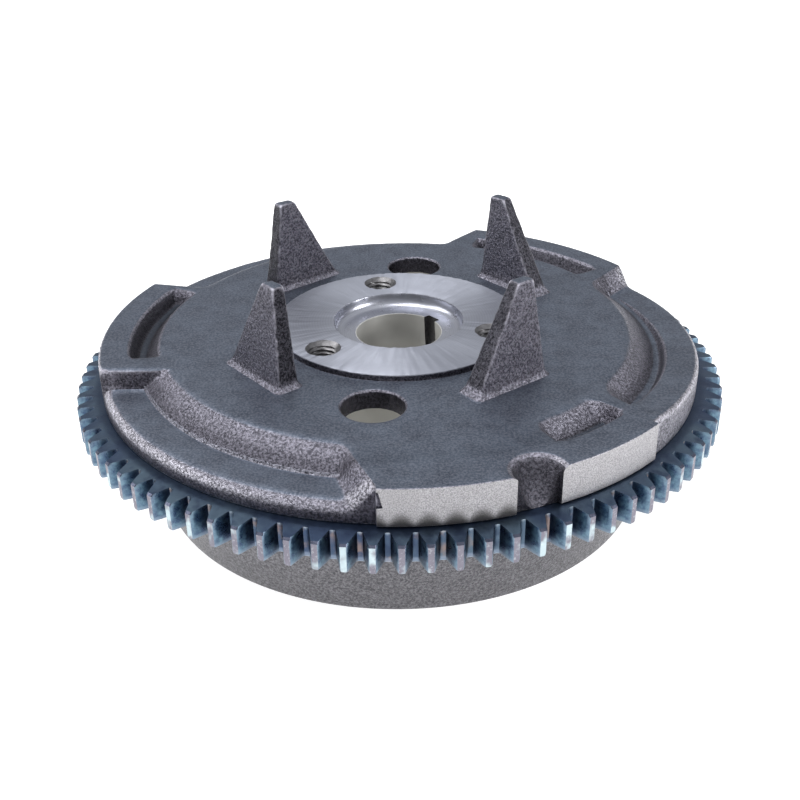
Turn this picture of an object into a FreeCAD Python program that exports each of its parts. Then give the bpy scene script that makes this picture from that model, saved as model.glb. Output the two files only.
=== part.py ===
import FreeCAD, Part
import math
import os
import Sketcher

from FreeCAD import Placement, Rotation, Vector

# Flywheel of a small engine with an electric starter. +Z is the crankshaft axis, pointing at the fan side.
# z = 0 is the open rim of the bell and the axis passes through the origin. Lengths in mm, angles in degrees.
DIMENSIONS = {
    # hub
    "hub_face_z": 50.0,
    "hub_radius": 36.5,
    "counterbore_radius": 19.3,
    "counterbore_floor_z": 46.0,
    "counterbore_cove": 3.0,
    "bore_small_radius": 12.7,
    "bore_large_radius": 14.45,
    "boss_radius": 24.0,
    "boss_end_z": 18.0,
    "key_width": 4.76,
    "key_reach": 14.5,
    "key_azimuth": 41.0,
    "tapped_hole_radius": 3.4,
    "tapped_circle_radius": 28.7,
    "tapped_azimuth": 101.5,
    "tapped_count": 3,
    "tapped_chamfer": 1.7,
    # web and its two holes
    "web_z": 48.0,
    "web_under_z": 42.5,
    "web_radius": 69.0,
    "web_hole_radius": 8.4,
    # rim
    "ledge_z": 42.2,
    "ledge_inner_radius": 76.6,
    "rim_radius": 87.7,
    "rim_round": 3.5,
    "ramp_tilt": 3.1,
    "ramp_mid_z": 44.9,
    # machined pads and the notch between them
    "pad_radius": 89.0,
    "pad_bottom_z": 37.4,
    "notch_radius": 6.0,
    "notch_centre_radius": 87.5,
    "notch_foot_radius": 2.5,
    "notch_foot_centre_radius": 90.1,
    "notch_azimuth": -68.2,
    # arc recesses
    "recess_floor_z": 43.6,
    "recess_outer_radius": 79.0,
    # bell
    "drum_top_radius": 80.0,
    "drum_bottom_radius": 73.6,
    "bell_radius": 66.0,
    "bell_shoulder_radius": 63.5,
    "bell_shoulder_z": 35.0,
    # fan-locating posts
    "post_tip_z": 76.0,
    "post_root_z": 47.0,
    # starter ring
    "ring_top_z": 37.0,
    "ring_bottom_z": 28.5,
    "ring_seat_radius": 82.0,
    "teeth": 88,
    "tip_radius": 95.25,
    "pitch_radius": 93.13,
    "root_radius": 90.6,
    "tooth_lead": 1.2,
    "gap_tip_half": 2.53,
    "gap_pitch_half": 1.66,
    "gap_low_half": 1.12,
    "gap_root_half": 0.65,
    # magnets and cage
    "magnet_count": 12,
    "magnet_span": 26.0,
    "magnet_inner_radius": 60.2,
    "magnet_bottom_z": 9.0,
    "magnet_top_z": 33.0,
    "cage_bottom_z": 7.0,
}

# azimuth of each web hole and its distance from the axis
WEB_HOLES = {"front": (-98.0, 50.0), "back": (83.4, 47.3)}

# start azimuth and sweep of the three raised parts of the rim
RAISED_SECTORS = {"pads": (-97.0, 54.0), "back": (29.0, 44.5), "left": (155.0, 44.0)}

# start azimuth and sweep of the machined pads
PADS = {"first": (-93.0, 21.0), "second": (-64.5, 21.5)}

# start azimuth, sweep and inner radius of the arc recess in each raised part
RECESSES = {"pads": (-60.0, 17.0, 68.0), "back": (33.0, 37.0, 70.5), "left": (157.0, 39.0, 70.5)}

# start azimuth and sweep of the ramped part of the rim
RAMP = (-43.0, 72.0)

# azimuth of each post and how far it stands out from the posts' common circle
POSTS = ((39.5, 0.0), (131.0, 0.0), (219.5 - 360.0, 0.0), (307.0 - 360.0, -1.0))

# post outlines as (radial, tangential) corners: long along the rim, one end nearly upright, the other sloped
POST_ROOT = ((45.0, -12.9), (51.5, -12.9), (51.5, 12.2), (45.0, 12.2))
POST_TIP = ((45.0, 2.6), (49.2, 2.6), (49.2, 9.0), (45.0, 9.0))


def make_sheet(doc):
    sheet = doc.addObject("Spreadsheet::Sheet", "Dims")
    for row, (alias, value) in enumerate(DIMENSIONS.items(), start=1):
        sheet.set("A%d" % row, alias)
        sheet.set("B%d" % row, str(value))
        sheet.setAlias("B%d" % row, alias)
    doc.recompute()
    return sheet


def make_body(doc, label):
    body = doc.addObject("PartDesign::Body", label)
    body.Label = label
    return body


def origin_plane(body, role):
    return next(f for f in body.Origin.OriginFeatures if f.Role == role)


def attach(body, name, role, axis, azimuth, height=None):
    """A sketch on an origin plane, turned about the wheel's axis and, if given, lifted along it."""
    sketch = body.newObject("Sketcher::SketchObject", name)
    sketch.AttachmentSupport = (origin_plane(body, role), [""])
    sketch.MapMode = "FlatFace"
    sketch.AttachmentOffset = Placement(Vector(0, 0, 0), Rotation(axis, azimuth))
    if height:
        sketch.setExpression("AttachmentOffset.Base.z", height)
    return sketch


def radial_sketch(body, name, azimuth=0.0):
    return attach(body, name, "XZ_Plane", Vector(0, 1, 0), azimuth)


def flat_sketch(body, name, height, azimuth=0.0):
    return attach(body, name, "XY_Plane", Vector(0, 0, 1), azimuth, height)


def bind_point(sketch, geometry, point, x, y):
    for kind, expression in (("DistanceX", x), ("DistanceY", y)):
        value = float(sketch.evalExpression(expression))
        index = sketch.addConstraint(Sketcher.Constraint(kind, -1, 1, geometry, point, value))
        sketch.setExpression("Constraints[%d]" % index, expression)


def polygon(sketch, corners):
    """A closed outline whose corners are pairs of expressions."""
    corners = [(str(x), str(y)) for x, y in corners]
    points = [Vector(float(sketch.evalExpression(x)), float(sketch.evalExpression(y)), 0) for x, y in corners]
    count = len(points)
    for i in range(count):
        sketch.addGeometry(Part.LineSegment(points[i], points[(i + 1) % count]), False)
    for i in range(count):
        sketch.addConstraint(Sketcher.Constraint("Coincident", i, 2, (i + 1) % count, 1))
    for i, (x, y) in enumerate(corners):
        bind_point(sketch, i, 1, x, y)
    return sketch


def circle(sketch, x, radius):
    value = float(sketch.evalExpression(radius))
    centre = Vector(float(sketch.evalExpression(x)), 0, 0)
    index = sketch.addGeometry(Part.Circle(centre, Vector(0, 0, 1), value), False)
    bind_point(sketch, index, 3, x, "0")
    size = sketch.addConstraint(Sketcher.Constraint("Radius", index, value))
    sketch.setExpression("Constraints[%d]" % size, radius)
    return sketch


def revolve(body, sketch, name, sweep="360", kind="PartDesign::Revolution"):
    feature = body.newObject(kind, name)
    feature.Profile = sketch
    feature.ReferenceAxis = (sketch, ["V_Axis"])
    feature.setExpression("Angle", sweep)
    body.Document.recompute()
    return feature


def groove(body, sketch, name, sweep="360"):
    return revolve(body, sketch, name, sweep, "PartDesign::Groove")


def pocket(body, sketch, name, length=None, upward=False):
    """Cut down from the sketch (or up), to a bound length or right through."""
    before = body.Shape.Volume
    feature = body.newObject("PartDesign::Pocket", name)
    feature.Profile = sketch
    feature.Reversed = upward
    if length:
        feature.setExpression("Length", length)
    else:
        feature.Type = 1
    body.Document.recompute()
    if body.Shape.Volume >= before - 0.01:
        raise RuntimeError("%s cut nothing" % name)
    return feature


def polar(body, original, name, count):
    pattern = body.newObject("PartDesign::PolarPattern", name)
    pattern.Originals = [original]
    pattern.Axis = (original.Profile[0], ["N_Axis"])
    pattern.Angle = 360
    pattern.setExpression("Occurrences", count)
    body.Tip = pattern
    body.Document.recompute()
    return pattern


def circular_edges(body, radius, height):
    """Names of the body's full-circle edges of this radius at this height."""
    names = []
    for i, edge in enumerate(body.Shape.Edges, start=1):
        curve = edge.Curve
        if isinstance(curve, Part.Circle) and abs(curve.Radius - radius) < 0.01:
            if abs(edge.CenterOfMass.z - height) < 0.01:
                names.append("Edge%d" % i)
    return names


def dress(body, kind, name, edges, size_property, size):
    base = body.Tip
    feature = body.newObject(kind, name)
    feature.Base = (base, edges)
    feature.setExpression(size_property, size)
    body.Tip = feature
    body.Document.recompute()
    return feature


def wheel_blank(body):
    """The turned section: counterbored hub, web, slope, ledge, rim, ring seat, tapering bell and boss."""
    outline = [
        ("Dims.counterbore_radius", "Dims.hub_face_z"),
        ("Dims.hub_radius", "Dims.hub_face_z"),
        ("Dims.hub_radius", "Dims.web_z"),
        ("Dims.web_radius", "Dims.web_z"),
        ("Dims.ledge_inner_radius", "Dims.ledge_z"),
        ("Dims.rim_radius", "Dims.ledge_z"),
        ("Dims.rim_radius", "Dims.ring_top_z"),
        ("Dims.ring_seat_radius", "Dims.ring_top_z"),
        ("Dims.ring_seat_radius", "Dims.ring_bottom_z"),
        ("Dims.drum_top_radius", "Dims.ring_bottom_z"),
        ("Dims.drum_bottom_radius", "0"),
        ("Dims.bell_radius", "0"),
        ("Dims.bell_radius", "Dims.bell_shoulder_z"),
        ("Dims.bell_shoulder_radius", "Dims.bell_shoulder_z"),
        ("Dims.bell_shoulder_radius", "Dims.web_under_z"),
        ("Dims.boss_radius", "Dims.web_under_z"),
        ("Dims.boss_radius", "Dims.boss_end_z"),
        ("Dims.bore_large_radius", "Dims.boss_end_z"),
        ("Dims.bore_small_radius", "Dims.counterbore_floor_z"),
        ("Dims.counterbore_radius", "Dims.counterbore_floor_z"),
    ]
    revolve(body, polygon(radial_sketch(body, "BlankSection"), outline), "Blank")
    cove = circular_edges(body, DIMENSIONS["counterbore_radius"], DIMENSIONS["counterbore_floor_z"])
    dress(body, "PartDesign::Fillet", "CounterboreCove", cove, "Radius", "Dims.counterbore_cove")
    rim = circular_edges(body, DIMENSIONS["rim_radius"], DIMENSIONS["ledge_z"])
    dress(body, "PartDesign::Fillet", "RimRound", rim, "Radius", "Dims.rim_round")


def ring_block(body, name, azimuth, sweep, inner, outer, bottom, top):
    corners = [(inner, bottom), (outer, bottom), (outer, top), (inner, top)]
    section = polygon(radial_sketch(body, name + "Section", azimuth), corners)
    return revolve(body, section, name, str(sweep))


def raised_rim(body):
    for name, (azimuth, sweep) in RAISED_SECTORS.items():
        ring_block(body, "Raised_" + name, azimuth, sweep, "Dims.web_radius - 2", "Dims.rim_radius",
                   "Dims.ring_top_z", "Dims.web_z")
    for name, (azimuth, sweep) in PADS.items():
        ring_block(body, "Pad_" + name, azimuth, sweep, "Dims.rim_radius - 3", "Dims.pad_radius",
                   "Dims.pad_bottom_z", "Dims.web_z")


def ramped_rim(body):
    """The outer band that falls from the pads towards the back: a ring block planed by a tilted cut."""
    azimuth, sweep = RAMP
    ring_block(body, "Ramp", azimuth, sweep, "Dims.ledge_inner_radius", "Dims.rim_radius",
               "Dims.ring_top_z", "Dims.web_z")
    middle = azimuth + sweep / 2.0
    plane = flat_sketch(body, "RampPlane", "Dims.ramp_mid_z", middle)
    plane.AttachmentOffset = Placement(
        Vector(0, 0, 0),
        Rotation(Vector(0, 0, 1), middle) * Rotation(Vector(1, 0, 0), -DIMENSIONS["ramp_tilt"]))
    inner = DIMENSIONS["ledge_inner_radius"] - 0.4
    outer = DIMENSIONS["pad_radius"] + 2.0
    half = math.radians(sweep / 2.0 - 0.2)
    near = [Vector(inner * math.cos(a), inner * math.sin(a), 0) for a in (-half, 0, half)]
    far = [Vector(outer * math.cos(a), outer * math.sin(a), 0) for a in (-half, 0, half)]
    plane.addGeometry([
        Part.Arc(*near),
        Part.LineSegment(near[2], far[2]),
        Part.Arc(*far),
        Part.LineSegment(far[0], near[0]),
    ], False)
    pocket(body, plane, "RampCut", upward=True)


def recesses(body):
    for name, (azimuth, sweep, inner) in RECESSES.items():
        corners = [
            (str(inner), "Dims.web_z + 1"),
            ("Dims.recess_outer_radius", "Dims.web_z + 1"),
            ("Dims.recess_outer_radius - 1", "Dims.recess_floor_z"),
            (str(inner + 3.5), "Dims.recess_floor_z"),
        ]
        section = polygon(radial_sketch(body, "Recess_%s_Section" % name, azimuth), corners)
        groove(body, section, "Recess_" + name, str(sweep))


def posts(body):
    for number, (azimuth, shift) in enumerate(POSTS, start=1):
        root_corners, tip_corners = ([(x + shift, y) for x, y in corners] for corners in (POST_ROOT, POST_TIP))
        root = polygon(flat_sketch(body, "PostRoot%d" % number, "Dims.post_root_z", azimuth), root_corners)
        tip = polygon(flat_sketch(body, "PostTip%d" % number, "Dims.post_tip_z", azimuth), tip_corners)
        loft = body.newObject("PartDesign::AdditiveLoft", "Post%d" % number)
        loft.Profile = root
        loft.Sections = [(tip, [""])]
        loft.Ruled = True
        body.Document.recompute()


def drilled_features(body):
    for name, (azimuth, distance) in WEB_HOLES.items():
        sketch = flat_sketch(body, "WebHole_%s_Circle" % name, "Dims.hub_face_z", azimuth)
        pocket(body, circle(sketch, str(distance), "Dims.web_hole_radius"), "WebHole_" + name)

    sketch = flat_sketch(body, "TappedCircle", "Dims.hub_face_z", DIMENSIONS["tapped_azimuth"])
    circle(sketch, "Dims.tapped_circle_radius", "Dims.tapped_hole_radius")
    polar(body, pocket(body, sketch, "TappedHole"), "TappedHoles", "Dims.tapped_count")
    mouths = circular_edges(body, DIMENSIONS["tapped_hole_radius"], DIMENSIONS["hub_face_z"])
    dress(body, "PartDesign::Chamfer", "TappedMouths", mouths, "Size", "Dims.tapped_chamfer")

    corners = [
        ("8", "-Dims.key_width / 2"),
        ("Dims.key_reach", "-Dims.key_width / 2"),
        ("Dims.key_reach", "Dims.key_width / 2"),
        ("8", "Dims.key_width / 2"),
    ]
    sketch = flat_sketch(body, "KeywaySection", "Dims.hub_face_z", DIMENSIONS["key_azimuth"])
    pocket(body, polygon(sketch, corners), "Keyway")

    notch(body)


def notch(body):
    """A half-round scoop, open outward, that narrows and runs out at the ring."""
    before = body.Shape.Volume
    azimuth = DIMENSIONS["notch_azimuth"]
    mouth = flat_sketch(body, "NotchMouth", "Dims.web_z", azimuth)
    circle(mouth, "Dims.notch_centre_radius", "Dims.notch_radius")
    foot = flat_sketch(body, "NotchFoot", "Dims.ring_top_z", azimuth)
    circle(foot, "Dims.notch_foot_centre_radius", "Dims.notch_foot_radius")
    loft = body.newObject("PartDesign::SubtractiveLoft", "Notch")
    loft.Profile = mouth
    loft.Sections = [(foot, [""])]
    loft.Ruled = True
    body.Document.recompute()
    if body.Shape.Volume >= before - 0.01:
        raise RuntimeError("Notch cut nothing")


def make_casting(doc):
    body = make_body(doc, "flywheel_casting")
    wheel_blank(body)
    raised_rim(body)
    ramped_rim(body)
    recesses(body)
    posts(body)
    drilled_features(body)
    return body


def make_ring_gear(doc):
    """A turned steel ring with the teeth cut through it, and a lead on the starter side of the tips."""
    body = make_body(doc, "ring_gear")
    outline = [
        ("Dims.ring_seat_radius", "Dims.ring_bottom_z"),
        ("Dims.tip_radius", "Dims.ring_bottom_z"),
        ("Dims.tip_radius", "Dims.ring_top_z - Dims.tooth_lead"),
        ("Dims.tip_radius - Dims.tooth_lead", "Dims.ring_top_z"),
        ("Dims.ring_seat_radius", "Dims.ring_top_z"),
    ]
    revolve(body, polygon(radial_sketch(body, "RingSection"), outline), "RingBlank")
    flank = [
        ("Dims.tip_radius + 1", "Dims.gap_tip_half + 0.5"),
        ("Dims.tip_radius", "Dims.gap_tip_half"),
        ("Dims.pitch_radius", "Dims.gap_pitch_half"),
        ("(Dims.pitch_radius + Dims.root_radius) / 2", "Dims.gap_low_half"),
        ("Dims.root_radius", "Dims.gap_root_half"),
    ]
    mirrored = [(x, "-(%s)" % y) for x, y in reversed(flank)]
    half_pitch = 180.0 / DIMENSIONS["teeth"]
    sketch = polygon(flat_sketch(body, "GapSection", "Dims.ring_top_z", half_pitch), flank + mirrored)
    polar(body, pocket(body, sketch, "ToothGap"), "ToothGaps", "Dims.teeth")
    return body


def make_magnet(doc, number):
    body = make_body(doc, "charge_magnet_%02d" % number)
    corners = [
        ("Dims.magnet_inner_radius", "Dims.magnet_bottom_z"),
        ("Dims.bell_radius", "Dims.magnet_bottom_z"),
        ("Dims.bell_radius", "Dims.magnet_top_z"),
        ("Dims.magnet_inner_radius", "Dims.magnet_top_z"),
    ]
    revolve(body, polygon(radial_sketch(body, "MagnetSection%02d" % number), corners), "Arc%02d" % number,
            "Dims.magnet_span")
    azimuth = (number - 1) * 360.0 / DIMENSIONS["magnet_count"]
    body.Placement = Placement(Vector(0, 0, 0), Rotation(Vector(0, 0, 1), azimuth))
    return body


def make_cage(doc):
    """A moulded band with one window for each magnet."""
    body = make_body(doc, "magnet_cage")
    corners = [
        ("Dims.magnet_inner_radius", "Dims.cage_bottom_z"),
        ("Dims.bell_radius", "Dims.cage_bottom_z"),
        ("Dims.bell_radius", "Dims.bell_shoulder_z"),
        ("Dims.magnet_inner_radius", "Dims.bell_shoulder_z"),
    ]
    revolve(body, polygon(radial_sketch(body, "BandSection"), corners), "Band")
    for number in range(DIMENSIONS["magnet_count"]):
        azimuth = number * 360.0 / DIMENSIONS["magnet_count"]
        window = [
            ("Dims.magnet_inner_radius - 1", "Dims.magnet_bottom_z"),
            ("Dims.bell_radius + 1", "Dims.magnet_bottom_z"),
            ("Dims.bell_radius + 1", "Dims.magnet_top_z"),
            ("Dims.magnet_inner_radius - 1", "Dims.magnet_top_z"),
        ]
        section = polygon(radial_sketch(body, "WindowSection%02d" % number, azimuth), window)
        groove(body, section, "Window%02d" % number, "Dims.magnet_span")
    return body


def check(doc, bodies):
    for item in doc.Objects:
        if "Invalid" in item.State or "Error" in item.State:
            raise RuntimeError("%s failed: %s" % (item.Name, item.State))
    for body in bodies:
        if body.Shape.isNull() or not body.Shape.isValid() or len(body.Shape.Solids) != 1:
            raise RuntimeError("%s has a bad shape" % body.Label)


def main():
    doc = FreeCAD.newDocument("Flywheel")
    make_sheet(doc)
    bodies = [make_casting(doc), make_ring_gear(doc), make_cage(doc)]
    for number in range(1, DIMENSIONS["magnet_count"] + 1):
        bodies.append(make_magnet(doc, number))
    doc.recompute()
    check(doc, bodies)
    os.makedirs("parts", exist_ok=True)
    for body in bodies:
        body.Shape.exportStep("parts/%s.step" % body.Label)
        box = body.Shape.BoundBox
        print("%-18s volume %10.1f mm3  z %.2f..%.2f" % (body.Label, body.Shape.Volume, box.ZMin, box.ZMax))


main()
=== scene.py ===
import math

import bpy
import numpy as np
from mathutils import Matrix, Vector, noise


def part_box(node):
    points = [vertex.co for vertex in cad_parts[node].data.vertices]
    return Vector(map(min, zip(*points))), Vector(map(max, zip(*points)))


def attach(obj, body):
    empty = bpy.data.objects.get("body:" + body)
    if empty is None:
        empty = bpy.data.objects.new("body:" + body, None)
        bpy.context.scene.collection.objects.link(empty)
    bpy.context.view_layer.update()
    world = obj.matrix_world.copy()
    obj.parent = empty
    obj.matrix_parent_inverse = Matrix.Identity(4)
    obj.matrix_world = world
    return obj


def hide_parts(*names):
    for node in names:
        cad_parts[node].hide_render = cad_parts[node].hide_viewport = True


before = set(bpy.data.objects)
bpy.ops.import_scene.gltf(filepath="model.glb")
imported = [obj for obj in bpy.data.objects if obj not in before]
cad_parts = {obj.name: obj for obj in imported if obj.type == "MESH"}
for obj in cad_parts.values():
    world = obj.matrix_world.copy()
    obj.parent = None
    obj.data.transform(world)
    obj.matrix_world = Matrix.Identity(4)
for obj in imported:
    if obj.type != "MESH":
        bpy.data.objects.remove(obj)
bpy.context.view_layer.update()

# Looks of a small-engine flywheel. Shapes are worked out in millimetres and degrees in the part's frame
# (+Z along the crankshaft, z = 0 at the open rim of the bell) and stored in metres.

MM = 0.001
RING_LOW, RING_HIGH = (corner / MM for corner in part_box("ring_gear"))
CASTING_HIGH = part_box("flywheel_casting")[1] / MM

TIP_RADIUS = RING_HIGH.x
RING_TOP = RING_HIGH.z
RING_BOTTOM = RING_LOW.z
POST_TIP_Z = CASTING_HIGH.z

HUB_FACE = 50.0
HUB_RADIUS = 36.5
WEB = 48.0
LEDGE = 42.2
RECESS_FLOOR = 43.6
RIM_RADIUS = 87.7
PAD_RADIUS = 89.0
PAD_BOTTOM = 37.4
COUNTERBORE_RADIUS = 19.3
COUNTERBORE_FLOOR = 46.0
BORE_RADIUS = 12.7
BORE_LARGE_RADIUS = 14.45
BOSS_RADIUS = 24.0
BOSS_END = 18.0
WEB_UNDER = 42.5
SEAT_RADIUS = 82.0
BELL_RADIUS = 66.0
BELL_SHOULDER = 35.0
BELL_SHOULDER_RADIUS = 63.5
DRUM_TOP_RADIUS = 80.0
DRUM_BOTTOM_RADIUS = 73.6

WEB_HOLE_RADIUS = 8.4
WEB_HOLES = ((-98.0, 50.0), (83.4, 47.3))         # azimuth, distance from the axis
TAPPED_CIRCLE_RADIUS = 28.7
TAPPED_AZIMUTHS = (101.5, 221.5, 341.5)
KEY_AZIMUTH, KEY_WIDTH, KEY_REACH = 41.0, 4.76, 14.5
KEY_START = 6.0                                    # where its cutter starts, inside the bore
NOTCH_AZIMUTH, NOTCH_CENTRE_RADIUS, NOTCH_RADIUS = -68.2, 87.5, 6.0

TEETH = 88
SEED = Vector((3.7, 11.3, 7.9))                    # fixed offset into the noise field


# ---------------------------------------------------------------- camera and light

CAMERA_PLACE = Vector((0.053, -296.915, 185.011))
CAMERA_TARGET = Vector((0.053, 0.0, 20.315))
CAMERA_LENS = 49.02
CAMERA_SHIFT = 0.0074                               # share of the frame the view is shifted by
CAMERA_ROLL = -0.809                                # degrees
LIGHT_TARGET = Vector((0.0, 0.0, 0.03))             # metres
# the room is dimmer at the level of the object than overhead: direction's height, strength there
ROOM_HEIGHTS, ROOM_STRENGTHS = (0.25, 0.85), (0.42, 0.87)
ROOM_COLOUR = (0.95, 0.97, 1.0, 1.0)


def make_camera():
    """The viewing angle: 29 degrees above the horizon, in front of the wheel, with a slight roll."""
    place = CAMERA_PLACE * MM
    target = CAMERA_TARGET * MM
    data = bpy.data.cameras.new("view")
    data.lens = CAMERA_LENS
    data.sensor_width = 36.0
    data.shift_y = CAMERA_SHIFT
    data.clip_start, data.clip_end = 0.01, 20.0
    camera = bpy.data.objects.new("view", data)
    turn = (target - place).to_track_quat("-Z", "Y").to_matrix().to_4x4()
    roll = Matrix.Rotation(math.radians(CAMERA_ROLL), 4, "Z")
    camera.matrix_world = Matrix.Translation(place) @ turn @ roll
    bpy.context.scene.collection.objects.link(camera)
    bpy.context.scene.camera = camera


def softbox(name, place, size, watts):
    """A square area light aimed at the hub; place and size in metres."""
    data = bpy.data.lights.new(name, "AREA")
    data.size = size
    data.energy = watts
    light = bpy.data.objects.new(name, data)
    place = Vector(place)
    aim = (LIGHT_TARGET - place).to_track_quat("-Z", "Y")
    light.matrix_world = Matrix.Translation(place) @ aim.to_matrix().to_4x4()
    bpy.context.scene.collection.objects.link(light)


def make_studio():
    softbox("overhead", (-0.3, -0.15, 1.15), 0.8, 9.5)
    softbox("left", (-0.95, 0.05, 0.72), 0.6, 6.0)
    softbox("right", (0.98, -0.36, 0.3), 0.4, 7.0)
    world = bpy.data.worlds.new("studio")
    world.use_nodes = True
    tree = world.node_tree
    background = tree.nodes["Background"]
    background.inputs["Color"].default_value = ROOM_COLOUR
    height = tree.nodes.new("ShaderNodeSeparateXYZ")
    tree.links.new(tree.nodes.new("ShaderNodeTexCoord").outputs["Generated"], height.inputs[0])
    fade = tree.nodes.new("ShaderNodeMapRange")
    for socket, amount in zip(list(fade.inputs)[1:5], ROOM_HEIGHTS + ROOM_STRENGTHS):
        socket.default_value = amount
    tree.links.new(height.outputs[2], fade.inputs[0])
    tree.links.new(fade.outputs[0], background.inputs["Strength"])
    bpy.context.scene.world = world
    bpy.context.scene.view_settings.view_transform = "Standard"


# ---------------------------------------------------------------- meshes

def mesh_object(name, points, faces, materials=(), finish=None, smooth=True):
    """An object from points in millimetres. finish(centres, normals) gives each face's material index."""
    mesh = bpy.data.meshes.new(name)
    mesh.from_pydata([tuple(p) for p in np.asarray(points, float) * MM], [], faces)
    mesh.validate()
    mesh.polygons.foreach_set("use_smooth", [smooth] * len(mesh.polygons))
    piece = bpy.data.objects.new(name, mesh)
    bpy.context.scene.collection.objects.link(piece)
    for material in materials:
        mesh.materials.append(material)
    if finish:
        assign_finish(mesh, finish)
    return piece


def assign_finish(mesh, finish):
    count = len(mesh.polygons)
    centres = np.zeros(count * 3)
    normals = np.zeros(count * 3)
    mesh.polygons.foreach_get("center", centres)
    mesh.polygons.foreach_get("normal", normals)
    indices = finish(centres.reshape(-1, 3) / MM, normals.reshape(-1, 3))
    mesh.polygons.foreach_set("material_index", indices.astype(np.int32))


def grid_faces(rows, columns, wrap_rows, wrap_columns):
    """Quads of a rows x columns grid of points stored row by row."""
    faces = []
    for i in range(rows if wrap_rows else rows - 1):
        below = (i + 1) % rows
        for j in range(columns if wrap_columns else columns - 1):
            right = (j + 1) % columns
            faces.append((i * columns + j, i * columns + right, below * columns + right, below * columns + j))
    return faces


def polar(radius, azimuth, z):
    """Points from arrays of radius, azimuth in degrees and height."""
    angle = np.radians(azimuth)
    return np.stack([radius * np.cos(angle), radius * np.sin(angle), z + 0 * angle], axis=-1)


def stacked_rings(name, rings):
    """A closed solid from rings of equal length, bottom first, capped at both ends."""
    count = len(rings[0])
    faces = grid_faces(len(rings), count, False, True)
    faces.append(tuple(reversed(range(count))))
    top = (len(rings) - 1) * count
    faces.append(tuple(range(top, top + count)))
    return mesh_object(name, np.concatenate(rings), faces)


def circle_ring(radius, z, centre, segments=72):
    """Points round a centre at height z; the radius is one number or one for each point."""
    angle = np.linspace(0, 2 * math.pi, segments, endpoint=False)
    x = centre[0] + radius * np.cos(angle)
    y = centre[1] + radius * np.sin(angle)
    return np.stack([x, y, z + 0 * angle], axis=-1)


def on_circle(distance, azimuth):
    return (distance * math.cos(math.radians(azimuth)), distance * math.sin(math.radians(azimuth)))


def combine(piece, others, operation):
    """Cuts the others from the piece, or joins them to it, and removes them."""
    for other in others:
        modifier = piece.modifiers.new(other.name, "BOOLEAN")
        modifier.operation = operation
        modifier.solver = "EXACT"
        modifier.object = other
    evaluated = piece.evaluated_get(bpy.context.evaluated_depsgraph_get())
    mesh = bpy.data.meshes.new_from_object(evaluated)
    old = piece.data
    piece.modifiers.clear()
    piece.data = mesh
    bpy.data.meshes.remove(old)
    for other in others:
        bpy.data.meshes.remove(other.data)


def roughen(piece, amplitude, size, keep):
    """Moves points along their normals by seeded noise; keep(points) gives each point's share from 0 to 1."""
    mesh = piece.data
    count = len(mesh.vertices)
    points = np.zeros(count * 3)
    normals = np.zeros(count * 3)
    mesh.vertices.foreach_get("co", points)
    mesh.vertices.foreach_get("normal", normals)
    points, normals = points.reshape(-1, 3), normals.reshape(-1, 3)
    share = keep(points / MM)
    field = np.array([
        noise.noise(Vector(p) / (size * MM) + SEED) + 0.5 * noise.noise(Vector(p) / (0.45 * size * MM) - SEED)
        if s > 0 else 0.0
        for p, s in zip(points, share)])
    points += normals * (field * share * amplitude * MM)[:, None]
    mesh.vertices.foreach_set("co", points.ravel())
    mesh.update()


# ---------------------------------------------------------------- the casting's turned and cast section

# Each corner of the section is (radius, z, how far its rounding reaches, points on the rounding, points on
# the straight run that follows). The part inside the rim is the same all the way round.
def rim_section(web_edge, foot, floor_end, wall_top, rim):
    """The part of the section from the hub's foot out to the ring gear."""
    return [
        (HUB_RADIUS, WEB, 0.5, 3, 15),
        (web_edge, WEB, 1.6, 5, 6),
        (foot[0], foot[1], 1.1, 4, 3),
        (floor_end[0], floor_end[1], 0.9, 4, 3),
        (wall_top[0], wall_top[1], 0.9, 4, 5),
        (rim[0], rim[1], rim[2], 7, 6),
        (rim[0], PAD_BOTTOM, 0.15, 2, 1),
        (RIM_RADIUS - 0.2, RING_TOP, 0.1, 2, 2),
    ]


SECTIONS = {
    "low": rim_section(69.5, (76.2, LEDGE + 0.95), (76.5, LEDGE), (80.2, LEDGE), (RIM_RADIUS, LEDGE, 3.9)),
    "raised": rim_section(68.5, (73.0, WEB), (77.5, WEB), (79.5, WEB), (RIM_RADIUS, WEB, 1.3)),
    "recess": rim_section(
        70.5, (74.6, RECESS_FLOOR), (77.0, RECESS_FLOOR), (79.2, WEB), (RIM_RADIUS, WEB, 1.3)),
    "pad": rim_section(68.5, (73.0, WEB), (77.5, WEB), (79.5, WEB), (PAD_RADIUS, WEB, 0.35)),
    "pad_pocket": rim_section(
        68.0, (74.4, RECESS_FLOOR), (77.8, RECESS_FLOOR), (79.4, WEB), (PAD_RADIUS, WEB, 0.35)),
    "lug": rim_section(67.6, (73.0, WEB), (77.5, WEB), (79.0, WEB), (RIM_RADIUS, WEB - 0.2, 1.6)),
    "groove_start": rim_section(67.3, (74.5, 42.6), (76.6, 42.6), (78.6, 47.3), (RIM_RADIUS, 47.5, 2.0)),
    "groove_end": rim_section(
        68.3, (76.2, LEDGE), (77.2, LEDGE), (78.6, LEDGE), (RIM_RADIUS, LEDGE + 0.2, 2.4)),
}

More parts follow.
